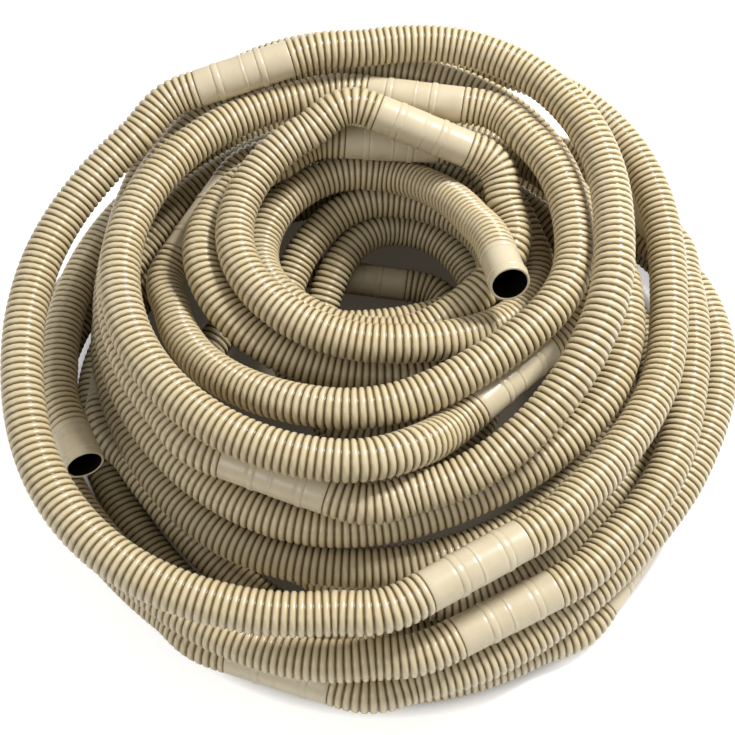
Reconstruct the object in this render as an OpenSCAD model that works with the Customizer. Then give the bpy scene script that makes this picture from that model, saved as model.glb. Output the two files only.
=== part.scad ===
// A long ribbed vacuum hose for a pool, lying on the floor in a loose round pile.
//
// The hose is one tube with a smooth bore and ribs outside. Every metre or so it has
// a plain double cuff, where it may be cut into two hoses that each end in a cuff.
// The model follows that: one sub-part for each ribbed run, one for each double cuff
// and one for each end cuff. They meet face to face along one unbroken route.

/* [Hose] */
// Bore of the hose and of its cuffs
bore_d = 38; // [32:0.5:50]
// Wall thickness in the grooves between the ribs
groove_wall = 1.25; // [1:0.05:1.5]
// How far the ribs stand above the grooves
rib_h = 2; // [1.5:0.05:2.5]
// Distance from one rib to the next
rib_pitch = 8; // [6:0.5:12]
// Number of ribs modelled next to each open end, where the hose is seen closest
end_ribs = 20; // [0:1:24]

/* [Cuffs] */
// Length of a double cuff
double_cuff_l = 115; // [105:1:125]
// Length of an end cuff
end_cuff_l = 52; // [46:1:60]
// Wall thickness of the plain sleeves
sleeve_wall = 2.5; // [2:0.05:3.5]
// How far the raised bands stand above the sleeves
band_h = 1; // [0.5:0.05:2]
// Width of a raised band
band_w = 7.5; // [4:0.5:10]
// Width of the slope at each side of a band
bevel_w = 1; // [0.5:0.25:1.5]
// Plain length from a double cuff's end to its nearest band
outer_sleeve_l = 23; // [18:1:30]
// Plain length from an open mouth to the end cuff's band
mouth_sleeve_l = 9; // [6:1:14]

/* [Pile] */
// Clearance between two turns that lie against each other
turn_gap = 0.5; // [0.45:0.05:3]

/* [Hidden] */
groove_d = bore_d + 2 * groove_wall;
rib_d = groove_d + 2 * rib_h;
sleeve_d = bore_d + 2 * sleeve_wall;
band_d = sleeve_d + 2 * band_h;
// One step from a turn of hose to the next one beside or above it: room for the ribs and
// for the bands. The pile is laid out in these steps, so it grows and shrinks with them.
lay = max(rib_d + turn_gap, band_d);

// The route runs clockwise, seen from above, and counts in turns: whole numbers are at
// the left of the pile, quarters at the back, halves at the right and three quarters at
// the front. A row is one turn: how far left, back, right and front it reaches, and the
// height of its centre line at each of these, all in steps of one lay.
TURNS = [
    // left   back  right  front   heights: left, back, right, front
    [-8.20, 9.40, 8.25, -6.65,   2.70, 2.45, 2.65, 2.55],
    [-8.65, 9.05, 9.20, -6.90,   1.70, 1.40, 1.75, 1.50],
    [-8.90, 9.60, 9.45, -6.65,   0.55, 0.50, 0.50, 0.50],
    [-7.80, 8.50, 8.25, -5.50,   0.50, 0.50, 0.50, 0.50],
    [-7.35, 7.75, 7.80, -4.85,   1.50, 1.40, 1.50, 1.50],
    [-5.10, 5.45, 3.35, -1.35,   0.60, 0.50, 0.50, 0.50],
    [-1.45, 6.35, 3.35, -0.45,   0.85, 1.60, 1.55, 1.65],
    [-2.35, 6.55, 3.50,  1.95,   1.95, 2.70, 2.80, 3.10],
    [-4.65, 7.75, 6.65, -4.35,   2.70, 2.60, 2.30, 2.45],
    [-7.05, 8.65, 6.60, -3.80,   2.50, 3.30, 4.00, 3.35],
    [-6.70, 9.95, 7.70, -6.15,   3.55, 5.00, 3.70, 4.35],
    [-8.30, 8.60, 5.90, -3.20,   5.00, 6.70, 6.20, 4.40],
    [-6.35, 8.80, 5.45, -2.95,   4.60, 5.50, 4.60, 5.45],
    [-6.00, 7.75, 5.10, -1.55,   5.65, 5.70, 5.60, 5.20],
    [-5.15, 7.80, 4.80,  0.10,   3.85, 3.85, 2.60, 3.85],
    [-4.25, 6.85, 4.45,  0.40,   4.70, 4.85, 3.60, 4.90],
    [-3.35, 6.75, 3.80,  1.15,   5.25, 6.05, 4.55, 4.05],
    [-2.85, 6.80, 3.40, -4.20,   3.70, 3.80, 5.40, 5.40]
];
// Places where a turn is pushed aside or lifted by its neighbours: where along the route,
// how far outwards and upwards in lays, and how far each way along the route it fades.
PUSHES = [
    [-0.10, -0.55,  0.58, 0.15],
    [ 0.15,  0.43,     0, 0.15],
    [ 0.40,  1.10,  0.03, 0.15],
    [ 0.66, -0.40,  0.07, 0.13],
    [ 0.88, -0.35,     0, 0.13],
    [ 1.05,  0.40,     0, 0.12],
    [ 1.43,  0.75,     0, 0.12],
    [ 1.62, -0.70,  0.03, 0.14],
    [ 1.88, -0.45,     0, 0.13],
    [ 2.43,  0.80,     0, 0.13],
    [ 2.57, -0.60,     0, 0.08],
    [ 2.64, -0.40,  0.08, 0.13],
    [ 2.90, -0.63,     0, 0.15],
    [ 3.57, -0.58,     0, 0.11],
    [ 3.64, -0.25,     0, 0.13],
    [ 3.90, -0.86,     0, 0.15],
    [ 4.62, -0.35,     0, 0.13],
    [ 4.87, -0.45,     0, 0.13],
    [ 5.25,     0,  0.14, 0.15],
    [ 6.12,     0,  0.45, 0.15],
    [ 7.17,     0,  0.08, 0.13],
    [ 7.41, -0.08,     0, 0.13],
    [ 8.08, -0.15, -0.15, 0.13],
    [ 8.37,  0.05,     0, 0.13],
    [ 8.93, -0.30,     0, 0.13],
    [ 9.15, -0.10,     0, 0.13],
    [ 9.34,  0.30,     0, 0.13],
    [ 9.67, -0.25,     0, 0.13],
    [ 9.70, -0.12,     0, 0.13],
    [10.15,  0.55,  0.30, 0.15],
    [10.39,  1.15,     0, 0.13],
    [10.62, -0.75,     0, 0.13],
    [10.70, -0.35,     0, 0.10],
    [10.87,  0.42,  0.05, 0.12],
    [11.15, -0.40,     0, 0.13],
    [11.25, -0.45,     0, 0.09],
    [11.37,  0.85,  0.10, 0.15],
    [11.70,  0.20, -0.07, 0.13],
    [11.95,     0, -0.05, 0.10],
    [12.20,  0.30,     0, 0.15],
    [12.38,  0.54,     0, 0.13],
    [12.63, -0.96, -0.72, 0.13],
    [13.38,  0.33,  0.10, 0.13],
    [13.65, -0.38,  0.02, 0.13],
    [14.05, -0.08, -0.15, 0.13],
    [14.36, -0.28,  0.12, 0.13],
    [14.60,  0.15, -0.10, 0.13],
    [15.10,     0, -0.13, 0.13],
    [15.33,  0.28,  0.01, 0.13],
    [16.23, -0.08,     0, 0.13],
    [16.42, -0.06,  0.11, 0.13],
    [16.62, -0.22,     0, 0.13],
    [16.90,     0,  0.25, 0.13],
    [17.30, -0.18, -0.10, 0.13],
    [17.41, -0.25,  0.05, 0.13],
    [17.55,     0,  0.92, 0.15]
];
// Where the route starts and ends: the mouths of the lower and the upper end cuff
FIRST = -0.075;
LAST = 17.5;
// Where the middle of each double cuff lies along the route
CUFFS = [0.40, 0.68, 1.79, 2.62, 4.02, 5.28, 10.69, 11.20, 11.80, 12.61, 13.30, 14.07,
         15.27, 16.31];

// A cuff is stiff: the hose is straight through it and this much further
cuff_lead = 5;
// Length over which the hose comes back from a cuff's straight line to its turn
cuff_fade = 85;
// The turns on the floor are pressed flat underneath by a tenth of the diameter
flat_depth = rib_d / 10;
// The table's heights count a round hose. This lowers it until its flat is on the floor.
floor_drop = lay / 2 - rib_d / 2 + flat_depth;

// The tube is drawn with flat facets: sides round it, and rings along one turn
SIDES = 6;
RINGS = 16;
// Straight facets cut the corners of a turn, so the tube is drawn thinner by as much
facet_rib_r = rib_d / 2 * cos(180 / RINGS);
facet_groove_r = groove_d / 2 * cos(180 / RINGS);
// Half of the step along the route that a direction is measured over
HALF_STEP = 0.001;

function ease(f) = (1 - cos(180 * f)) / 2;
function between(a, b, f) = a + (b - a) * ease(f);
function item(list, i) = list[min(max(i, 0), len(list) - 1)];
LEFT = [for (turn = TURNS) turn[0]];
BACK = [for (turn = TURNS) turn[1]];
RIGHT = [for (turn = TURNS) turn[2]];
FRONT = [for (turn = TURNS) turn[3]];
HEIGHTS = [for (turn = TURNS) for (i = [4:7]) turn[i]];

// Swings between the reaches of one side and those of the other, half a turn apart
function swing(near, far, t) =
    let (turn = floor(t), f = 2 * (t - turn))
    f < 1 ? between(item(near, turn), item(far, turn), f)
          : between(item(far, turn), item(near, turn + 1), f - 1);
function height(t) =
    let (quarter = floor(4 * t))
    between(item(HEIGHTS, quarter), item(HEIGHTS, quarter + 1), 4 * t - quarter);
function fading(t, push) =
    let (f = abs(t - push[0]) / push[3])
    f < 1 ? ease(1 - f) : 0;
PUSH_OUT = [for (push = PUSHES) push[1]];
PUSH_UP = [for (push = PUSHES) push[2]];

// The centre line of the lying hose, as if no cuff stiffened it
function lying(t) =
    let (
        fades = [for (push = PUSHES) fading(t, push)],
        out = fades * PUSH_OUT,
        up = fades * PUSH_UP
    )
    [
        lay * (swing(LEFT, RIGHT, t) - out * cos(360 * t)),
        lay * (swing(BACK, FRONT, t - 0.25) + out * sin(360 * t)),
        lay * (height(t) + up) - floor_drop
    ];
function lying_speed(t) =
    norm(lying(t + HALF_STEP) - lying(t - HALF_STEP)) / (2 * HALF_STEP);
function unit(v) = v / norm(v);

// A cuff's line: where it is on the route, its middle, its direction, the length that it
// holds straight each way, and how many millimetres one turn of the route comes to there
function double_cuff_line(t) =
    let (
        speed = lying_speed(t),
        hold = double_cuff_l / 2 + cuff_lead,
        a = lying(t - hold / speed),
        b = lying(t + hold / speed)
    )
    [t, 0.35 * (a + b) + 0.3 * lying(t), unit(b - a), hold, speed];
function end_cuff_line(t, way) =
    let (
        speed = lying_speed(t),
        hold = end_cuff_l + cuff_lead
    )
    [t, lying(t), way * unit(lying(t + way * hold / speed) - lying(t)), hold, speed];
LINES = concat(
    [end_cuff_line(FIRST, 1)],
    [for (t = CUFFS) double_cuff_line(t)],
    [end_cuff_line(LAST, -1)]
);
function held(line, t) =
    let (f = (line[3] + cuff_fade - abs(t - line[0]) * line[4]) / cuff_fade)
    f <= 0 ? 0 : f >= 1 ? 1 : f * f * (3 - 2 * f);
function on_line(line, t) = line[1] + line[2] * (t - line[0]) * line[4];

// The centre line of the real hose, with its cuffs straight
function route(t) =
    let (p = lying(t))
    p + [for (line = LINES) held(line, t)] * [for (line = LINES) on_line(line, t) - p];
function along(t) = unit(route(t + HALF_STEP) - route(t - HALF_STEP));

// Each run goes from the end of one cuff to the start of the next
run_count = len(LINES) - 1;
function cuff_half(i) = i == 0 || i == run_count ? end_cuff_l : double_cuff_l / 2;
function after(i, length) = LINES[i][0] + (cuff_half(i) + length) / LINES[i][4];
function before(i, length) = LINES[i][0] - (cuff_half(i) + length) / LINES[i][4];
ribbed_l = end_ribs * rib_pitch;

// Places of the plain rings of a run, which keep off its ends and its ribs
function plain_stops(a, b) =
    [for (i = [ceil(a * RINGS + 0.15) : floor(b * RINGS - 0.15)]) i / RINGS];
function bore_stops(i) =
    let (a = after(i, rib_d), b = before(i + 1, rib_d))
    concat([after(i, 0), a], plain_stops(a, b), [b, before(i + 1, 0)]);
// Ribs are pairs of rings, one in the groove and one on the crest, each with its radius
function rib_stops(i, way) = [
    for (j = [0 : 2 * end_ribs - 1])
        let (length = (j + 0.5) * rib_pitch / 2)
        [way > 0 ? after(i, length) : before(i, length), j % 2 == 0 ? facet_groove_r : facet_rib_r]
];
function skin_stops(i) =
    let (
        ribbed_start = i == 0 && end_ribs > 0,
        ribbed_end = i == run_count - 1 && end_ribs > 0,
        a = after(i, ribbed_start ? ribbed_l : rib_d),
        b = before(i + 1, ribbed_end ? ribbed_l : rib_d),
        ribs_b = ribbed_end ? rib_stops(i + 1, -1) : []
    )
    concat(
        [[after(i, 0), facet_rib_r]],
        ribbed_start ? rib_stops(i, 1) : [[a, facet_rib_r]],
        [for (t = plain_stops(a, b)) [t, facet_rib_r]],
        ribbed_end ? [for (j = [len(ribs_b) - 1 : -1 : 0]) ribs_b[j]] : [[b, facet_rib_r]],
        [[before(i + 1, 0), facet_rib_r]]
    );

// One ring of the tube, square to the route, with a flat side underneath
function ring(t, r) =
    let (
        p = route(t),
        forward = along(t),
        side = unit(cross(forward, [0, 0, 1])),
        over = cross(side, forward)
    )
    [for (i = [0 : SIDES - 1]) p + r * (cos(360 * i / SIDES) * side + sin(360 * i / SIDES) * over)];
// The turns on the floor stop at it
function floored(points) = [for (p = points) [p.x, p.y, max(p.z, 0)]];

// The pile stands in the middle of the frame
all_stops = [for (i = [0 : run_count - 1]) each bore_stops(i)];
pile_points = [for (t = all_stops) each ring(t, facet_rib_r)];
pile_x = [for (p = pile_points) p.x];
pile_y = [for (p = pile_points) p.y];
pile_middle = [(min(pile_x) + max(pile_x)) / 2, (min(pile_y) + max(pile_y)) / 2, 0];

function strip(rings, first, flip) = [
    for (i = [0 : rings - 2])
        for (j = [0 : SIDES - 1])
            let (
                a = first + i * SIDES + j,
                b = first + i * SIDES + (j + 1) % SIDES,
                c = a + SIDES,
                d = b + SIDES
            )
            each flip ? [[a, d, b], [a, c, d]] : [[a, b, d], [a, d, c]]
];
function rim(outside, inside, flip) = [
    for (j = [0 : SIDES - 1])
        let (
            a = outside + j,
            b = outside + (j + 1) % SIDES,
            c = inside + j,
            d = inside + (j + 1) % SIDES
        )
        each flip ? [[a, b, d], [a, d, c]] : [[a, d, b], [a, c, d]]
];

hose_colour = "#c9bb98";
cuff_colour = "#c6b48c";

module hose_run(i) {
    skin = skin_stops(i);
    bore = bore_stops(i);
    skin_points = [for (stop = skin) each floored(ring(stop[0], stop[1]))];
    bore_points = [for (t = bore) each ring(t, bore_d / 2)];
    bore_first = len(skin_points);
    color(hose_colour)
    translate(-pile_middle)
    polyhedron(
        points = concat(skin_points, bore_points),
        faces = concat(
            strip(len(skin), 0, false),
            strip(len(bore), bore_first, true),
            rim(0, bore_first, false),
            rim(bore_first - SIDES, bore_first + len(bore_points) - SIDES, true)
        )
    );
}

// Stands a sub-part that is drawn along Z on a cuff's line, with Z along the route
module on_route(line) {
    u = line[2];
    translate(line[1] - pile_middle)
    rotate([0, acos(u.z), atan2(u.y, u.x)])
    children();
}

function band(from) = [
    [sleeve_d / 2, from],
    [band_d / 2, from + bevel_w],
    [band_d / 2, from + band_w - bevel_w],
    [sleeve_d / 2, from + band_w]
];

module cuff_body(length, bands) {
    rotate_extrude($fn = 24)
    polygon(concat(
        [[bore_d / 2, 0], [sleeve_d / 2, 0]],
        [for (from = bands) each band(from)],
        [[sleeve_d / 2, length], [bore_d / 2, length]]
    ));
}

// Two bands mark a double cuff off from the ribs, and a third marks where it is cut
module double_cuff(i) {
    color(cuff_colour)
    on_route(LINES[i + 1])
    translate([0, 0, -double_cuff_l / 2])
    cuff_body(
        double_cuff_l,
        [outer_sleeve_l, (double_cuff_l - band_w) / 2, double_cuff_l - outer_sleeve_l - band_w]
    );
}

// An end cuff is half a double cuff: a band near its open mouth and a plain sleeve
module lower_end_cuff() {
    color(cuff_colour)
    on_route(LINES[0])
    cuff_body(end_cuff_l, [mouth_sleeve_l]);
}
module upper_end_cuff() {
    color(cuff_colour)
    on_route(LINES[run_count])
    translate([0, 0, -end_cuff_l])
    cuff_body(end_cuff_l, [end_cuff_l - mouth_sleeve_l - band_w]);
}

function numbered(name, i) = str(name, i < 9 ? "_0" : "_", i + 1);
RUN_NAMES = [for (i = [0 : run_count - 1]) numbered("hose_run", i)];
CUFF_NAMES = [for (i = [0 : len(CUFFS) - 1]) numbered("double_cuff", i)];

lower_end_cuff();
upper_end_cuff();
for (i = [0 : run_count - 1]) hose_run(i);
for (i = [0 : len(CUFFS) - 1]) double_cuff(i);

// The least gap between any two turns, and the length of the hose, measured on points
PER_TURN = 60;
points = [for (i = [ceil(FIRST * PER_TURN) : floor(LAST * PER_TURN)]) route(i / PER_TURN)];
function gaps_from(i) = [
    for (ahead = [1 : floor((len(points) - 1 - i) / PER_TURN) + 1])
        for (shift = [-5 : 5])
            let (j = i + ahead * PER_TURN + shift)
            if (j < len(points)) norm(points[j] - points[i]) - rib_d
];
module measure() {
    gaps = [for (i = [0 : len(points) - 2]) min(concat([rib_d], gaps_from(i)))];
    least = min(gaps);
    lengths = [for (i = [0 : len(points) - 2]) norm(points[i + 1] - points[i])];
    tight = [for (i = [0 : len(gaps) - 1]) if (gaps[i] < 0.4) round(1000 * (FIRST + i / PER_TURN)) / 1000];
    echo(least_gap_mm = least, at_turn = FIRST + search(least, gaps)[0] / PER_TURN, tight = tight);
    echo(length_m = (lengths * [for (l = lengths) 1]) / 1000);
    echo(lower_mouth = LINES[0][1] - pile_middle, points_to = -LINES[0][2]);
    echo(upper_mouth = LINES[run_count][1] - pile_middle, points_to = LINES[run_count][2]);
    echo(pile_middle = pile_middle, size = [max(pile_x) - min(pile_x), max(pile_y) - min(pile_y)]);
}
measure();
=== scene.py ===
# %% [markdown]
# # Pool vacuum hose in a loose round pile
#
# One long ribbed hose lies clockwise on the floor, turn upon turn, with both open ends free.
# Every metre or so a plain double cuff marks a place where it may be cut. A hose like this could
# be drawn in Blender as a curve with a bevel, but a bevel gives a smooth tube. Here each tube is a
# mesh, worked out ring by ring, so that every rib is real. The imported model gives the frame.

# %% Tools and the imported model
import math
from collections import namedtuple

import bpy
import numpy as np
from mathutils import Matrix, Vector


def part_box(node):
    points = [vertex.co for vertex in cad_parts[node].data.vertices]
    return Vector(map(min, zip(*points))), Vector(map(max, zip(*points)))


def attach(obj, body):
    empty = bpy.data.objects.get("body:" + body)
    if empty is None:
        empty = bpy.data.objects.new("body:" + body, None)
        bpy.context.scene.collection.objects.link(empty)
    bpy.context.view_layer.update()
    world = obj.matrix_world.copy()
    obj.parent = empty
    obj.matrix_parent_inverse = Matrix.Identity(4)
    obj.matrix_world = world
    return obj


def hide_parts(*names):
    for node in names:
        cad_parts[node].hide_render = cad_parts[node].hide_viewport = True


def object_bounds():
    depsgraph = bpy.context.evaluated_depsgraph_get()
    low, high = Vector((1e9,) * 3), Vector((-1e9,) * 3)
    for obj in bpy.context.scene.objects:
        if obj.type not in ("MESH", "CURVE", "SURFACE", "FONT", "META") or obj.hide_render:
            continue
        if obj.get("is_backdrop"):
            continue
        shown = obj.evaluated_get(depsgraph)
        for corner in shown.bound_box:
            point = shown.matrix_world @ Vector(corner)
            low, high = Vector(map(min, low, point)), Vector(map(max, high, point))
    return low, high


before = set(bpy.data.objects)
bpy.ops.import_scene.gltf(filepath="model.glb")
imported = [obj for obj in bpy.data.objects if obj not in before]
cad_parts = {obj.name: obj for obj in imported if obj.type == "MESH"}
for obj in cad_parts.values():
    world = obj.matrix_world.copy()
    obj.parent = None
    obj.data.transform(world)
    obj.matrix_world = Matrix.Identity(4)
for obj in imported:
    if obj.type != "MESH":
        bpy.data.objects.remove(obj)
cad_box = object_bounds()
print("packed model:", *(f"{high - low:.3f}" for low, high in zip(*cad_box)), "m")

# %% [markdown]
# ## Sizes
# The hose has a bore of 38 mm, thin walls, and ribs 8 mm apart. Blender works in metres, and so do
# these values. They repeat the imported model's, so that both hoses lie in the same place.

# %% Sizes of the hose
BORE_D = 0.038
RIB_D = 0.0445
GROOVE_D = 0.0392
RIB_PITCH = 0.008
SLEEVE_D = 0.043
BAND_D = 0.045
DOUBLE_CUFF_L = 0.115
END_CUFF_L = 0.052
MILLIMETRES = 1000  # in a metre

# A lay is one step from a turn of hose to the next
LAY = 0.045
# The turns on the floor are pressed flat by this share of the hose's width
FLATTENED = 0.1
FLOOR_DROP = LAY / 2 - (0.5 - FLATTENED) * RIB_D
print(f"{RIB_D * MILLIMETRES} mm over the ribs, a rib every {RIB_PITCH * MILLIMETRES} mm")

# %% [markdown]
# ## Turns of the pile
# A real pile is dropped turn by turn, and no two turns reach equally far. A spiral from a formula
# would look too neat, so each turn has its own reach to four sides, and a height at each of them.
# The route swings from one to the next. All are in lays.

# %% Reach and height of each turn
TURNS = [
    # left   back  right  front   heights: left, back, right, front
    [-8.20, 9.40, 8.25, -6.65,   2.70, 2.45, 2.65, 2.55],
    [-8.65, 9.05, 9.20, -6.90,   1.70, 1.40, 1.75, 1.50],
    [-8.90, 9.60, 9.45, -6.65,   0.55, 0.50, 0.50, 0.50],
    [-7.80, 8.50, 8.25, -5.50,   0.50, 0.50, 0.50, 0.50],
    [-7.35, 7.75, 7.80, -4.85,   1.50, 1.40, 1.50, 1.50],
    [-5.10, 5.45, 3.35, -1.35,   0.60, 0.50, 0.50, 0.50],
    [-1.45, 6.35, 3.35, -0.45,   0.85, 1.60, 1.55, 1.65],
    [-2.35, 6.55, 3.50,  1.95,   1.95, 2.70, 2.80, 3.10],
    [-4.65, 7.75, 6.65, -4.35,   2.70, 2.60, 2.30, 2.45],
    [-7.05, 8.65, 6.60, -3.80,   2.50, 3.30, 4.00, 3.35],
    [-6.70, 9.95, 7.70, -6.15,   3.55, 5.00, 3.70, 4.35],
    [-8.30, 8.60, 5.90, -3.20,   5.00, 6.70, 6.20, 4.40],
    [-6.35, 8.80, 5.45, -2.95,   4.60, 5.50, 4.60, 5.45],
    [-6.00, 7.75, 5.10, -1.55,   5.65, 5.70, 5.60, 5.20],
    [-5.15, 7.80, 4.80,  0.10,   3.85, 3.85, 2.60, 3.85],
    [-4.25, 6.85, 4.45,  0.40,   4.70, 4.85, 3.60, 4.90],
    [-3.35, 6.75, 3.80,  1.15,   5.25, 6.05, 4.55, 4.05],
    [-2.85, 6.80, 3.40, -4.20,   3.70, 3.80, 5.40, 5.40],
]
print(len(TURNS), "turns")

# %% Where a neighbour pushes a turn aside or lifts it
# Place on the route in turns, lays outwards, lays upwards, and how many turns it takes to fade
PUSHES = [
    [-0.10, -0.55,  0.58, 0.15],
    [ 0.15,  0.43,     0, 0.15],
    [ 0.40,  1.10,  0.03, 0.15],
    [ 0.66, -0.40,  0.07, 0.13],
    [ 0.88, -0.35,     0, 0.13],
    [ 1.05,  0.40,     0, 0.12],
    [ 1.43,  0.75,     0, 0.12],
    [ 1.62, -0.70,  0.03, 0.14],
    [ 1.88, -0.45,     0, 0.13],
    [ 2.43,  0.80,     0, 0.13],
    [ 2.57, -0.60,     0, 0.08],
    [ 2.64, -0.40,  0.08, 0.13],
    [ 2.90, -0.63,     0, 0.15],
    [ 3.57, -0.58,     0, 0.11],
    [ 3.64, -0.25,     0, 0.13],
    [ 3.90, -0.86,     0, 0.15],
    [ 4.62, -0.35,     0, 0.13],
    [ 4.87, -0.45,     0, 0.13],
    [ 5.25,     0,  0.14, 0.15],
    [ 6.12,     0,  0.45, 0.15],
    [ 7.17,     0,  0.08, 0.13],
    [ 7.41, -0.08,     0, 0.13],
    [ 8.08, -0.15, -0.15, 0.13],
    [ 8.37,  0.05,     0, 0.13],
    [ 8.93, -0.30,     0, 0.13],
    [ 9.15, -0.10,     0, 0.13],
    [ 9.34,  0.30,     0, 0.13],
    [ 9.67, -0.25,     0, 0.13],
    [ 9.70, -0.12,     0, 0.13],
    [10.15,  0.55,  0.30, 0.15],
    [10.39,  1.15,     0, 0.13],
    [10.62, -0.75,     0, 0.13],
    [10.70, -0.35,     0, 0.10],
    [10.87,  0.42,  0.05, 0.12],
    [11.15, -0.40,     0, 0.13],
    [11.25, -0.45,     0, 0.09],
    [11.37,  0.85,  0.10, 0.15],
    [11.70,  0.20, -0.07, 0.13],
    [11.95,     0, -0.05, 0.10],
    [12.20,  0.30,     0, 0.15],
    [12.38,  0.54,     0, 0.13],
    [12.63, -0.96, -0.72, 0.13],
    [13.38,  0.33,  0.10, 0.13],
    [13.65, -0.38,  0.02, 0.13],
    [14.05, -0.08, -0.15, 0.13],
    [14.36, -0.28,  0.12, 0.13],
    [14.60,  0.15, -0.10, 0.13],
    [15.10,     0, -0.13, 0.13],
    [15.33,  0.28,  0.01, 0.13],
    [16.23, -0.08,     0, 0.13],
    [16.42, -0.06,  0.11, 0.13],
    [16.62, -0.22,     0, 0.13],
    [16.90,     0,  0.25, 0.13],
    [17.30, -0.18, -0.10, 0.13],
    [17.41, -0.25,  0.05, 0.13],
    [17.55,     0,  0.92, 0.15],
]
print(len(PUSHES), "pushes")

# %% Mouths and cuffs along the route
# Places in turns: whole numbers are at the left, quarters at the back
FIRST = -0.075
LAST = 17.5
CUFFS = [
    0.40, 0.68, 1.79, 2.62, 4.02, 5.28, 10.69,
    11.20, 11.80, 12.61, 13.30, 14.07, 15.27, 16.31,
]
print(len(CUFFS), "double cuffs and 2 end cuffs on", LAST - FIRST, "turns")

# %% [markdown]
# ## The lying hose
# A hose has no corners, so it has to swing softly between the reaches above. A Blender curve would
# round them too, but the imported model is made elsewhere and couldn't repeat its shape. A half wave
# of the cosine is as soft, and both models work it out in the same way: x swings left and right,
# and y, a quarter of a turn later, back and front.

# %% Easing between two values
def ease(f):
    return (1 - np.cos(np.pi * f)) / 2


def item(values, i):
    return values[np.clip(i, 0, len(values) - 1).astype(int)]


def between(values_a, i, values_b, j, f):
    return item(values_a, i) + (item(values_b, j) - item(values_a, i)) * ease(f)


def swing(near, far, t):
    """Swings between the reaches of one side and those of the other, half a turn apart."""
    turn = np.floor(t)
    f = 2 * (t - turn)
    there = between(near, turn, far, turn, f)
    back_again = between(far, turn, near, turn + 1, f - 1)
    return np.where(f < 1, there, back_again)


print("a quarter of the way is eased to", round(ease(0.25), 3))

# %% Centre line of the lying hose, as if no cuff stiffened it
turns = np.array(TURNS)
pushes = np.array(PUSHES)
heights = turns[:, 4:].reshape(-1)


def lying(t):
    t = np.atleast_1d(np.asarray(t, float))
    quarter = np.floor(4 * t)
    height = between(heights, quarter, heights, quarter + 1, 4 * t - quarter)
    f = np.abs(t[:, None] - pushes[:, 0]) / pushes[:, 3]
    fades = np.where(f < 1, ease(1 - f), 0)
    out = fades @ pushes[:, 1]
    up = fades @ pushes[:, 2]
    angle = 2 * np.pi * t
    x = LAY * (swing(turns[:, 0], turns[:, 2], t) - out * np.cos(angle))
    y = LAY * (swing(turns[:, 1], turns[:, 3], t - 0.25) + out * np.sin(angle))
    return np.stack([x, y, LAY * (height + up) - FLOOR_DROP], axis=1)


print("the lower mouth lies at", lying(FIRST)[0].round(3))

# %% [markdown]
# ## Straight cuffs
# A cuff is stiff where the ribs are limp, so the hose runs straight through it and bends beside
# it. The bend could be left in the cuff, but a bent cuff looks like rubber. Each cuff gets a
# straight line instead, and the route fades from its own bend to that line.

# %% Lines that the cuffs lie on
CUFF_LEAD = 0.005
HALF_STEP = 0.001
# A double cuff's middle comes from both its ends and from the place between them
END_SHARE, MIDDLE_SHARE = 0.35, 0.3
# A line is held for so many metres each way from its place, at a pace in metres a turn
Line = namedtuple("Line", "place middle along hold pace")


def unit(v):
    return v / np.linalg.norm(v, axis=-1, keepdims=True)


def pace_at(t):
    return np.linalg.norm(lying(t + HALF_STEP)[0] - lying(t - HALF_STEP)[0]) / (2 * HALF_STEP)


def double_cuff_line(t):
    hold = DOUBLE_CUFF_L / 2 + CUFF_LEAD
    reach = hold / pace_at(t)
    a, b = lying([t - reach, t + reach])
    middle = END_SHARE * (a + b) + MIDDLE_SHARE * lying(t)[0]
    return Line(t, middle, unit(b - a), hold, pace_at(t))


def end_cuff_line(t, way):
    """The line from a mouth inwards, where way is 1 at the first mouth and -1 at the last."""
    hold = END_CUFF_L + CUFF_LEAD
    mouth, inner = lying([t, t + way * hold / pace_at(t)])
    return Line(t, mouth, way * unit(inner - mouth), hold, pace_at(t))


LINES = [end_cuff_line(FIRST, 1), *map(double_cuff_line, CUFFS), end_cuff_line(LAST, -1)]
print(len(LINES), "straight stretches")

# %% Place of the route in the frame
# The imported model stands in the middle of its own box, so the route moves there with one cuff
low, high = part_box("double_cuff_01")
TO_FRAME = (np.array(low) + np.array(high)) / 2 - LINES[1].middle
print("the route moves by", TO_FRAME.round(4))

# %% Route of the real hose, with its cuffs straight
CUFF_FADE = 0.085


def route(t):
    t = np.atleast_1d(np.asarray(t, float))
    plain = lying(t)
    points = plain.copy()
    for line in LINES:
        past = (t - line.place) * line.pace
        f = np.clip((line.hold + CUFF_FADE - np.abs(past)) / CUFF_FADE, 0, 1)
        weight = (f * f * (3 - 2 * f))[:, None]
        points += weight * (line.middle + line.along * past[:, None] - plain)
    return points + TO_FRAME


print("the upper mouth is at", route(LAST)[0].round(3))

# %% Length along the route
# Ribs are evenly spaced along the hose, but a turn of the route may be long or short. The length
# up to many places is added up once and read off after that.
FINE_STEPS = 30000
fine_t = np.linspace(FIRST, LAST, FINE_STEPS)
fine_s = np.concatenate([[0], np.cumsum(np.linalg.norm(np.diff(route(fine_t), axis=0), axis=1))])
HOSE_L = fine_s[-1]


def at_length(s):
    return np.interp(s, fine_s, fine_t)


def to_length(t):
    return np.interp(t, fine_t, fine_s)


print(f"the hose is {HOSE_L:.2f} m long")

# %% [markdown]
# ## Nodes for the plastic
# The hose is EVA, a soft copolymer of polyethylene, blow-moulded in one length with its cuffs. An
# image could be wrapped round each turn, but 28 metres of hose would need a long one. So every
# finish is worked out by nodes from the place on the object, and each pattern has a real size.

# %% Colours
def linear(hex_colour):
    """A hex colour as Blender's linear RGBA."""
    parts = [int(hex_colour[i : i + 2], 16) / 255 for i in (1, 3, 5)]
    return [c / 12.92 if c <= 0.04045 else ((c + 0.055) / 1.055) ** 2.4 for c in parts] + [1]


print("middle grey is", round(linear("#808080")[0], 3), "in linear light")

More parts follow.
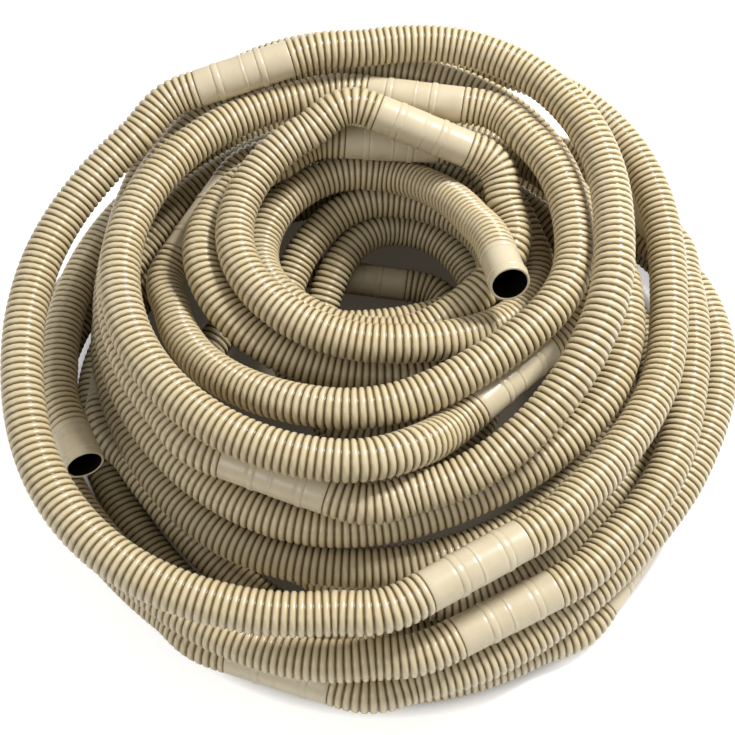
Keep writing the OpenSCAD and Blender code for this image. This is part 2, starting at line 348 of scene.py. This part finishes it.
# %% Nodes
def plug(material, node, inputs):
    """Gives each named input of a node a value, or a link from another node's output."""
    for name, value in inputs.items():
        if isinstance(value, bpy.types.NodeSocket):
            material.node_tree.links.new(value, node.inputs[name])
        else:
            node.inputs[name].default_value = value


def add(material, kind, inputs, **settings):
    """Adds one node with its settings, values and links."""
    node = material.node_tree.nodes.new(kind)
    for name, value in settings.items():
        setattr(node, name, value)
    plug(material, node, inputs)
    return node


def new_material(name, inputs):
    """A material, its shader, and its place on the object in millimetres."""
    material = bpy.data.materials.new(name)
    material.use_nodes = True
    shader = material.node_tree.nodes["Principled BSDF"]
    plug(material, shader, inputs)
    where = add(material, "ShaderNodeTexCoord", {}).outputs["Object"]
    scaled = add(material, "ShaderNodeMapping", {"Vector": where, "Scale": (MILLIMETRES,) * 3})
    print("material:", name)
    return material, shader, scaled.outputs["Vector"]


# %% [markdown]
# ## Ribbed EVA
# The mould leaves a satin skin: a soft highlight runs along each rib, with no mirror image. Across
# each rib the colour holds painted shade in the grooves, along with the dust that stays there, and
# painted light on the crests, which also rub pale. An ambient occlusion node could find the grooves,
# but it traces more rays, so the mesh stores a value, crest: 0 in a groove and 1 on a crest.

# %% Colour across a rib
# The groove and flank colours are painted shade with some dust; the crest colour is painted light.
GROOVE, FLANK, CREST = "#45371c", "#93835f", "#dbd2ba"
FLANK_AT = 0.4


def rib_colour_with_painted_shade(eva):
    """Painted shade from groove to flank, and painted light from flank to crest."""
    crest = add(eva, "ShaderNodeAttribute", {}, attribute_name="crest").outputs["Fac"]
    low = add(eva, "ShaderNodeMapRange", {"Value": crest, "From Max": FLANK_AT})
    high = add(eva, "ShaderNodeMapRange", {"Value": crest, "From Min": FLANK_AT})
    flank = add(eva, "ShaderNodeMix", {}, data_type="RGBA")
    plug(eva, flank, {"Factor": low.outputs["Result"], "A": linear(GROOVE), "B": linear(FLANK)})
    flank = flank.outputs["Result"]
    ribs = add(eva, "ShaderNodeMix", {}, data_type="RGBA")
    plug(eva, ribs, {"Factor": high.outputs["Result"], "A": flank, "B": linear(CREST)})
    return ribs.outputs["Result"]


print("groove, flank and crest:", GROOVE, FLANK, CREST)

# %% Sun, handling and dust
# Broad tints of 140 mm are sun and handling, and specks of 9 mm are dust
TINT_MM, SPECK_MM = 140, 9
TINT, SPECK = "#f0e7d3", "#ded4bc"
SPECK_SHARE = 0.5


def aged(eva, colour, place):
    """Multiplies a colour by its tints and its specks."""
    for size, pale, share in ((TINT_MM, TINT, 1.0), (SPECK_MM, SPECK, SPECK_SHARE)):
        spots = add(eva, "ShaderNodeTexNoise", {"Vector": place, "Scale": 1 / size, "Detail": 4.0})
        spots = spots.outputs["Fac"]
        shade = add(eva, "ShaderNodeMix", {}, data_type="RGBA")
        plug(eva, shade, {"Factor": spots, "A": linear(pale), "B": linear("#ffffff")})
        product = add(eva, "ShaderNodeMix", {}, data_type="RGBA", blend_type="MULTIPLY")
        plug(eva, product, {"Factor": share, "A": colour, "B": shade.outputs["Result"]})
        colour = product.outputs["Result"]
    return colour


print("tints of", TINT_MM, "mm and specks of", SPECK_MM, "mm")

# %% Satin skin of the ribs
EVA_IOR = 1.49
SHEEN_MM = 25
SATIN_LOW, SATIN_HIGH = 0.2, 0.3
# The mould's grain is too fine to show, so it is drawn coarser than it is
GRAIN_MM, GRAIN_DEPTH_MM = 1.6, 0.15
GRAIN_STRENGTH = 0.25


def ribbed_eva():
    eva, shader, place = new_material("blow_moulded_eva", {"IOR": EVA_IOR})
    colour = aged(eva, rib_colour_with_painted_shade(eva), place)
    sheen = add(eva, "ShaderNodeTexNoise", {"Vector": place, "Scale": 1 / SHEEN_MM}).outputs["Fac"]
    satin = {"Value": sheen, "To Min": SATIN_LOW, "To Max": SATIN_HIGH}
    satin = add(eva, "ShaderNodeMapRange", satin).outputs["Result"]
    grain = add(eva, "ShaderNodeTexNoise", {"Vector": place, "Scale": 1 / GRAIN_MM, "Detail": 5.0})
    depth = {"Distance": GRAIN_DEPTH_MM / MILLIMETRES, "Strength": GRAIN_STRENGTH}
    skin = add(eva, "ShaderNodeBump", {"Height": grain.outputs["Fac"], **depth}).outputs["Normal"]
    plug(eva, shader, {"Base Color": colour, "Roughness": satin, "Normal": skin})
    return eva


ribbed_plastic = ribbed_eva()

# %% [markdown]
# ## Smooth EVA
# The cuffs come from the same melt, but the mould is polished there, so they are paler and a
# little glossier, with soft wipe marks of 30 mm. One material could do both, told apart by crest,
# but two are easier to repaint.

# %% Polished plastic of the cuffs
CUFF_DULL, CUFF_CLEAN = "#c0b49a", "#cfc4ab"
GLOSS_LOW, GLOSS_HIGH = 0.24, 0.32
WIPE_MM = 30


def smooth_eva():
    eva, shader, place = new_material("polished_mould_eva", {"IOR": EVA_IOR})
    wipes = add(eva, "ShaderNodeTexNoise", {"Vector": place, "Scale": 1 / WIPE_MM}).outputs["Fac"]
    colour = add(eva, "ShaderNodeMix", {}, data_type="RGBA")
    plug(eva, colour, {"Factor": wipes, "A": linear(CUFF_DULL), "B": linear(CUFF_CLEAN)})
    gloss = {"Value": wipes, "To Min": GLOSS_LOW, "To Max": GLOSS_HIGH}
    gloss = add(eva, "ShaderNodeMapRange", gloss).outputs["Result"]
    plug(eva, shader, {"Base Color": colour.outputs["Result"], "Roughness": gloss})
    return eva


cuff_plastic = smooth_eva()

# %% [markdown]
# ## Inside of the bore
# The bore is the same plastic, but so little light gets past a 38 mm mouth that it looks black.
# The lamps alone could show that, if the whole inside were modelled. A short lining in a dark
# shade of the plastic looks the same from outside, and costs far fewer faces.

# %% Plastic in its own shade
SHADE_DULL, SHADE_CLEAN = "#0b0907", "#17130e"
SHADE_ROUGHNESS, SHADE_SHINE = 0.7, 0.1


def shaded_eva():
    eva, shader, place = new_material("shaded_eva", {"IOR": EVA_IOR, "Roughness": SHADE_ROUGHNESS})
    spots = add(eva, "ShaderNodeTexNoise", {"Vector": place, "Scale": 1 / SPECK_MM}).outputs["Fac"]
    colour = add(eva, "ShaderNodeMix", {}, data_type="RGBA")
    plug(eva, colour, {"Factor": spots, "A": linear(SHADE_DULL), "B": linear(SHADE_CLEAN)})
    plug(eva, shader, {"Base Color": colour.outputs["Result"], "Specular IOR Level": SHADE_SHINE})
    return eva


dark_bore = shaded_eva()

# %% [markdown]
# ## Tubes
# Hose and cuffs are all tubes: rows of rings with faces between them. An Array and a Curve modifier
# could bend one rib along a curve, but that curve would need thousands of points to lie as the
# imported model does. Rings go where the route goes, square to it.

# %% Rings round the route
def circle(side, over, sides):
    """Directions all the way round, from one pair of directions or a row of them."""
    angle = 2 * np.pi * np.arange(sides) / sides
    return np.cos(angle)[:, None] * side[..., None, :] + np.sin(angle)[:, None] * over[..., None, :]


def on_floor(points):
    """Presses flat what would lie below the floor."""
    points[..., 2] = np.maximum(points[..., 2], 0)
    return points


def rings(t, radii, sides):
    """Points of rings round the route at t, one row a ring."""
    forward = unit(route(t + HALF_STEP) - route(t - HALF_STEP))
    side = unit(np.cross(forward, [0, 0, 1]))
    outward = circle(side, np.cross(side, forward), sides)
    return on_floor(route(t)[:, None, :] + radii[:, None, None] * outward)


print("one ring of six points:", rings(np.array([1.0]), np.array([RIB_D / 2]), 6).shape)

# %% Faces of a tube
def tube_faces(count, sides, first=0, inward=False):
    """Quads between rings, where first is the number of points before this tube."""
    i = np.arange(count - 1)[:, None] * sides
    j = np.arange(sides)
    k = (j + 1) % sides
    quads = np.stack([i + j, i + k, i + sides + k, i + sides + j], axis=-1).reshape(-1, 4) + first
    return quads if inward else quads[:, ::-1]


print("two rings of six points:", len(tube_faces(2, 6)), "faces")

# %% A piece from points and faces
def tube_object(name, points, faces, plastics, face_plastics):
    mesh = bpy.data.meshes.new(name)
    mesh.vertices.add(len(points))
    mesh.vertices.foreach_set("co", points.ravel())
    mesh.loops.add(4 * len(faces))
    mesh.loops.foreach_set("vertex_index", faces.ravel())
    mesh.polygons.add(len(faces))
    mesh.polygons.foreach_set("loop_start", np.arange(0, 4 * len(faces), 4))
    for plastic in plastics:
        mesh.materials.append(plastic)
    mesh.polygons.foreach_set("material_index", face_plastics)
    mesh.update(calc_edges=True)
    mesh.validate()
    mesh.shade_smooth()
    piece = bpy.data.objects.new(name, mesh)
    bpy.context.scene.collection.objects.link(piece)
    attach(piece, "root")
    print(name, "has", len(faces), "faces")
    return piece


# %% [markdown]
# ## Ribs
# A blow-moulded rib is a rounded bump with a narrow groove beside it. A displacement in the shader
# could raise it, but the mesh would stay smooth, and an exported hose would have no ribs. So each
# rib is six rings, and a run holds a whole number of ribs, as a mould does.

# %% One rib
# How far along its pitch, and how far from groove to crest
RIB_SHAPE = [(0.0, 0.0), (0.13, 0.45), (0.26, 0.9), (0.5, 1.0), (0.74, 0.9), (0.87, 0.45)]
print(len(RIB_SHAPE), "rings a rib")

# %% Rings of one run
def half_length(i):
    return END_CUFF_L if i in (0, len(LINES) - 1) else DOUBLE_CUFF_L / 2


def run_rings(i):
    """Lengths and crest shares of the rings of the run after line i."""
    start = to_length(LINES[i].place + half_length(i) / LINES[i].pace)
    end = to_length(LINES[i + 1].place - half_length(i + 1) / LINES[i + 1].pace)
    count = round((end - start) / RIB_PITCH)
    pitch = (end - start) / count
    first = start + pitch * np.arange(count)
    lengths = (first[:, None] + pitch * np.array([f for f, _ in RIB_SHAPE])).ravel()
    crests = np.tile([crest for _, crest in RIB_SHAPE], count)
    return np.append(lengths, end), np.append(crests, 0.0)


print("the first run has", len(run_rings(0)[0]) // len(RIB_SHAPE), "ribs")

# %% [markdown]
# ## Hose
# The real hose is moulded in one length, so it is a single mesh from end cuff to end cuff: ribs in
# each run, and a plain neck that hides inside each cuff. Fifteen meshes could do it too, but one has
# no ends to line up.

# %% Skin of the hose
SIDES = 18
NECK_D = 0.040
NECK_L = 0.004


def hose_skin():
    """Points, faces and crest shares of the outside, from mouth to mouth."""
    lengths, radii, crests = [], [], []
    for i in range(len(LINES) - 1):
        s, crest = run_rings(i)
        lengths += [s[0] - NECK_L, *s, s[-1] + NECK_L]
        radii += [NECK_D / 2, *(GROOVE_D / 2 + crest * (RIB_D - GROOVE_D) / 2), NECK_D / 2]
        crests += [0, *crest, 0]
    points = rings(at_length(np.array(lengths)), np.array(radii), SIDES)
    return points.reshape(-1, 3), tube_faces(len(lengths), SIDES), np.repeat(crests, SIDES)


print("the skin has", SIDES, "points a ring")

# %% Lining of the bore, as far as an open end is seen into
LINING_L = 0.30
LINING_RINGS = 60
LINING_GAP = 0.0002


def lining(a, b, first):
    """Points and faces of the bore between two lengths, facing inwards."""
    s = np.linspace(a, b, LINING_RINGS)
    points = rings(at_length(s), np.full(LINING_RINGS, BORE_D / 2 - LINING_GAP), SIDES)
    return points.reshape(-1, 3), tube_faces(LINING_RINGS, SIDES, first, inward=True)


print("the bore is lined up to", LINING_L, "m from each mouth")

# %% The whole hose
def hose():
    points, faces, crests = hose_skin()
    plastics = np.zeros(len(faces), int)
    for a, b in ((END_CUFF_L, LINING_L), (HOSE_L - LINING_L, HOSE_L - END_CUFF_L)):
        more_points, more_faces = lining(a, b, len(points))
        points = np.concatenate([points, more_points])
        faces = np.concatenate([faces, more_faces])
        crests = np.append(crests, np.zeros(len(more_points)))
        plastics = np.append(plastics, np.ones(len(more_faces), int))
    piece = tube_object("ribbed_hose", points, faces, [ribbed_plastic, dark_bore], plastics)
    crest = piece.data.attributes.new("crest", "FLOAT", "POINT")
    crest.data.foreach_set("value", crests.astype(np.float32))
    return piece


ribbed_hose = hose()
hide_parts(*[f"hose_run_{i:02d}" for i in range(1, len(LINES))])

# %% [markdown]
# ## Shape of a cuff
# A cuff is round, so it could be a cylinder with bevels and loops added by hand. It is turned from
# a profile instead, as on a lathe: a list of points says how far along the cuff each is and how far
# it stands out of the plain sleeve, both in millimetres. The list closes through the bore.

# %% Bands and sleeves
BAND_W = 7.5
MOUTH_BAND_W = 3.5
BAND = (BAND_D - SLEEVE_D) / 2 * MILLIMETRES
BORE = (BORE_D - SLEEVE_D) / 2 * MILLIMETRES


def band(start, width, before=0.0, after=0.0):
    """A raised rounded band, between sleeves that stand out by before and by after."""
    end = start + width
    return [
        (start - 1.2, before),
        (start - 0.6, before - 0.3),
        (start, before - 0.2),
        (start + 0.7, BAND - 0.3),
        (start + 1.6, BAND),
        (start + width / 2, BAND),
        (end - 1.6, BAND),
        (end - 0.7, BAND - 0.3),
        (end, after - 0.2),
        (end + 0.6, after - 0.3),
        (end + 1.2, after),
    ]


def sleeve(a, b, out=0.0, count=4):
    return [(a + (b - a) * i / (count - 1), out) for i in range(count)]


print(f"a band stands {BAND:.1f} mm out, and the bore lies {-BORE:.1f} mm in")

# %% Profile of a double cuff
WIDE = 0.4


def double_cuff_profile():
    """Two bands, and between them a step where the cuff is cut."""
    end = DOUBLE_CUFF_L * MILLIMETRES
    return [
        (0, BORE),
        (0, -1.2),
        (0.5, -0.3),
        (1.5, 0),
        *sleeve(4, 18),
        *band(22, BAND_W, 0, WIDE),
        *sleeve(34, 54, WIDE),
        (57, WIDE),
        (57.6, WIDE + 0.3),
        (58.4, WIDE),
        (59, -0.3),
        (60, 0),
        *sleeve(63, 72),
        *band(75.5, BAND_W),
        *sleeve(87, 108),
        (end - 1.5, 0),
        (end - 0.5, -0.3),
        (end, -1.2),
        (end, BORE),
    ]


print("a double cuff has", len(double_cuff_profile()), "profile points")

# %% Profile of an end cuff
LIP = 0.3


def end_cuff_profile():
    """From the open mouth inwards."""
    end = END_CUFF_L * MILLIMETRES
    return [
        (0.6, BORE),
        (0.1, BORE + 0.6),
        (0, BORE + 1.4),
        (0.2, LIP - 0.6),
        (0.8, LIP - 0.1),
        (1.6, LIP),
        *sleeve(3, 7, LIP, 3),
        *band(9, MOUTH_BAND_W, LIP, 0),
        *sleeve(15, 40, 0, 5),
        (44, 0),
        (44.6, -0.5),
        (45.6, -0.5),
        (46.2, 0.3),
        (49, 0.3),
        (end - 0.5, 0),
        (end, -1.2),
        (end, BORE),
    ]


print("an end cuff has", len(end_cuff_profile()), "profile points")

# %% [markdown]
# ## Cuffs in place
# Blender's Screw modifier turns a profile too, but each cuff would then have to be rotated onto its
# slanted line. Circles and faces like the hose's are worked out in place.

# %% Turning a profile
CUFF_SIDES = 48


def turned(name, profile, start, along, plastics):
    """Turns a profile round a line. The last strip is the bore, and takes the last plastic."""
    side = unit(np.cross(along, [0, 0, 1]))
    outward = circle(side, np.cross(side, along), CUFF_SIDES)
    places, out = np.array([*profile, profile[0]]).T / MILLIMETRES
    points = start + places[:, None, None] * along + (SLEEVE_D / 2 + out)[:, None, None] * outward
    faces = tube_faces(len(places), CUFF_SIDES)
    face_plastics = np.zeros(len(faces), int)
    face_plastics[-CUFF_SIDES:] = len(plastics) - 1
    return tube_object(name, on_floor(points).reshape(-1, 3), faces, plastics, face_plastics)


print("a cuff has", CUFF_SIDES, "points a ring")

# %% Double cuffs
def double_cuffs():
    pieces = []
    for i, line in enumerate(LINES[1:-1], start=1):
        start = line.middle + TO_FRAME - line.along * DOUBLE_CUFF_L / 2
        piece = turned(f"sleeve_{i:02d}", double_cuff_profile(), start, line.along, [cuff_plastic])
        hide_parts(f"double_cuff_{i:02d}")
        pieces.append(piece)
    return pieces


cuffs = double_cuffs()

# %% End cuffs
def end_cuff(name, line, way):
    mouth = line.middle + TO_FRAME
    plastics = [cuff_plastic, dark_bore]
    piece = turned(f"{name}_mouth", end_cuff_profile(), mouth, way * line.along, plastics)
    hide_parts(f"{name}_end_cuff")
    return piece


cuffs += [end_cuff("lower", LINES[0], 1), end_cuff("upper", LINES[-1], -1)]

# %% [markdown]
# ## Path of the hose
# A limp hose could be given joints, but it would need hundreds. Its path is worked out instead,
# about one point a rib, from cuff to cuff.

# %% Path along the hose
PATH_STEP = RIB_PITCH
path_s = np.linspace(END_CUFF_L, HOSE_L - END_CUFF_L, round(HOSE_L / PATH_STEP))
path = route(at_length(path_s))
print(f"a cord of {path_s[-1] - path_s[0]:.2f} m with {len(cuffs)} cuffs on it")

# %% [markdown]
# ## Floor
# A matt white floor, with painted shade under the pile, where no lamp reaches. Stronger lamps would
# make it white, but they would bleach the hose. So the floor glows a little, and only where the
# camera sees it: the hose isn't lit from below.

# %% Paint of the floor
# The darker floor colour is painted shade under the pile, seen through the gaps between the turns.
FLOOR_WHITE, FLOOR_UNDER_PILE_SHADE = "#fafafa", "#4c463c"
FLOOR_ROUGHNESS = 0.9
FLOOR_GLOW = 0.55
# How far out the painted shade under the pile reaches, in metres, and over what share of that it
# fades
UNDER_PILE = 0.40
UNDER_EDGE = 0.06


def floor_paint():
    paint, shader, place = new_material("matt_white_paint", {"Roughness": FLOOR_ROUGHNESS})
    near = (1 / (UNDER_PILE * MILLIMETRES), 1 / (UNDER_PILE * MILLIMETRES), 1)
    near = add(paint, "ShaderNodeMapping", {"Vector": place, "Scale": near}).outputs["Vector"]
    under = add(paint, "ShaderNodeTexGradient", {"Vector": near}, gradient_type="SPHERICAL")
    edge = {"Value": under.outputs["Fac"], "From Max": UNDER_EDGE}
    edge = add(paint, "ShaderNodeMapRange", edge).outputs["Result"]
    # The floor colour is painted shade under the pile, fading to white outside it.
    colour = add(paint, "ShaderNodeMix", {}, data_type="RGBA")
    plug(paint, colour, {"Factor": edge, "A": linear(FLOOR_WHITE), "B": linear(FLOOR_UNDER_PILE_SHADE)})
    colour = colour.outputs["Result"]
    seen = add(paint, "ShaderNodeLightPath", {}).outputs["Is Camera Ray"]
    glow = add(paint, "ShaderNodeMapRange", {"Value": seen, "To Max": FLOOR_GLOW}).outputs["Result"]
    plug(paint, shader, {"Base Color": colour, "Emission Color": colour, "Emission Strength": glow})
    return paint


# %% The floor
def floor(far):
    """A square floor that reaches far from the middle on each side."""
    mesh = bpy.data.meshes.new("floor")
    corners = [(-far, -far, 0), (far, -far, 0), (far, far, 0), (-far, far, 0)]
    mesh.from_pydata(corners, [], [(0, 1, 2, 3)])
    mesh.materials.append(floor_paint())
    piece = bpy.data.objects.new("floor", mesh)
    bpy.context.scene.collection.objects.link(piece)
    piece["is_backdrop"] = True
    print("the floor is", 2 * far, "m wide")


floor(12.0)

# %% [markdown]
# ## Light
# One lamp at the back right draws the highlight along each rib, and a broader and weaker one at the
# front left opens the shadows. A sun could light the pile from one side only. The sky fills in the
# rest.

# %% Pointing a lamp or a camera
def aimed(data, name, place, aim):
    piece = bpy.data.objects.new(name, data)
    bpy.context.scene.collection.objects.link(piece)
    piece.location = place
    way = np.array(aim) - np.array(place)
    distance = np.linalg.norm(way)
    pitch = math.acos(-way[2] / distance)
    piece.rotation_euler = (pitch, 0, math.atan2(-way[0], way[1]))
    print(f"{name} is {distance:.2f} m away, tipped {math.degrees(pitch):.0f} degrees")
    return piece


# %% Lamps
LAMP_AIM = (0, 0, 0.1)


def lamp(name, place, size, watts, colour):
    data = bpy.data.lights.new(name, "AREA")
    data.shape = "DISK"
    data.size = size
    data.energy = watts
    data.color = linear(colour)[:3]
    aimed(data, name, place, LAMP_AIM)


lamp("key", (1.3, 0.8, 2.2), size=0.6, watts=86, colour="#fffcf6")
lamp("fill", (-1.6, -1.6, 1.9), size=1.4, watts=18, colour="#ffffff")

# %% Sky
SKY_LIGHT = 0.45
world = bpy.data.worlds.new("soft_sky")
world.use_nodes = True
background = world.node_tree.nodes["Background"]
background.inputs["Color"].default_value = linear("#fffdf8")
background.inputs["Strength"].default_value = SKY_LIGHT
bpy.context.scene.world = world
print("the sky has a strength of", SKY_LIGHT)

# %% [markdown]
# ## Camera
# The camera stands in front of the pile and looks down at 60 degrees. Its distance and its aim are
# counted in widths of hose. Its lens gives a focal length of 1050 pixels where the render is 735
# wide. Standard is the view transform that shows a colour as it is written.

# %% The camera
SENSOR = 36.0
FRAME_PIXELS, FOCAL_PIXELS = 735, 1050
CAMERA_DISTANCE = 25.7 * RIB_D
CAMERA_ELEVATION = math.radians(60)
CAMERA_AIM = TO_FRAME + np.array([0, 0, 4.5 * RIB_D - FLOOR_DROP])
away = np.array([0, -math.cos(CAMERA_ELEVATION), math.sin(CAMERA_ELEVATION)])

eye = bpy.data.cameras.new("camera")
eye.sensor_width = SENSOR
eye.lens = SENSOR * FOCAL_PIXELS / FRAME_PIXELS
eye.clip_start = 0.01
camera = aimed(eye, "camera", CAMERA_AIM + CAMERA_DISTANCE * away, CAMERA_AIM)
bpy.context.scene.camera = camera
bpy.context.scene.view_settings.view_transform = "Standard"
print(f"lens of {eye.lens:.1f} mm")

# %% [markdown]
# ## Boxes
# The box of the imported model and that of the dressed one are printed side by side. Ribs
# and cuffs mustn't make the hose larger than the imported model.

# %% Boxes of the imported model and of the dressed one
boxes = {"cad": cad_box, "visual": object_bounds()}
boxes = {name: [list(map(float, corner)) for corner in box] for name, box in boxes.items()}
print(boxes)
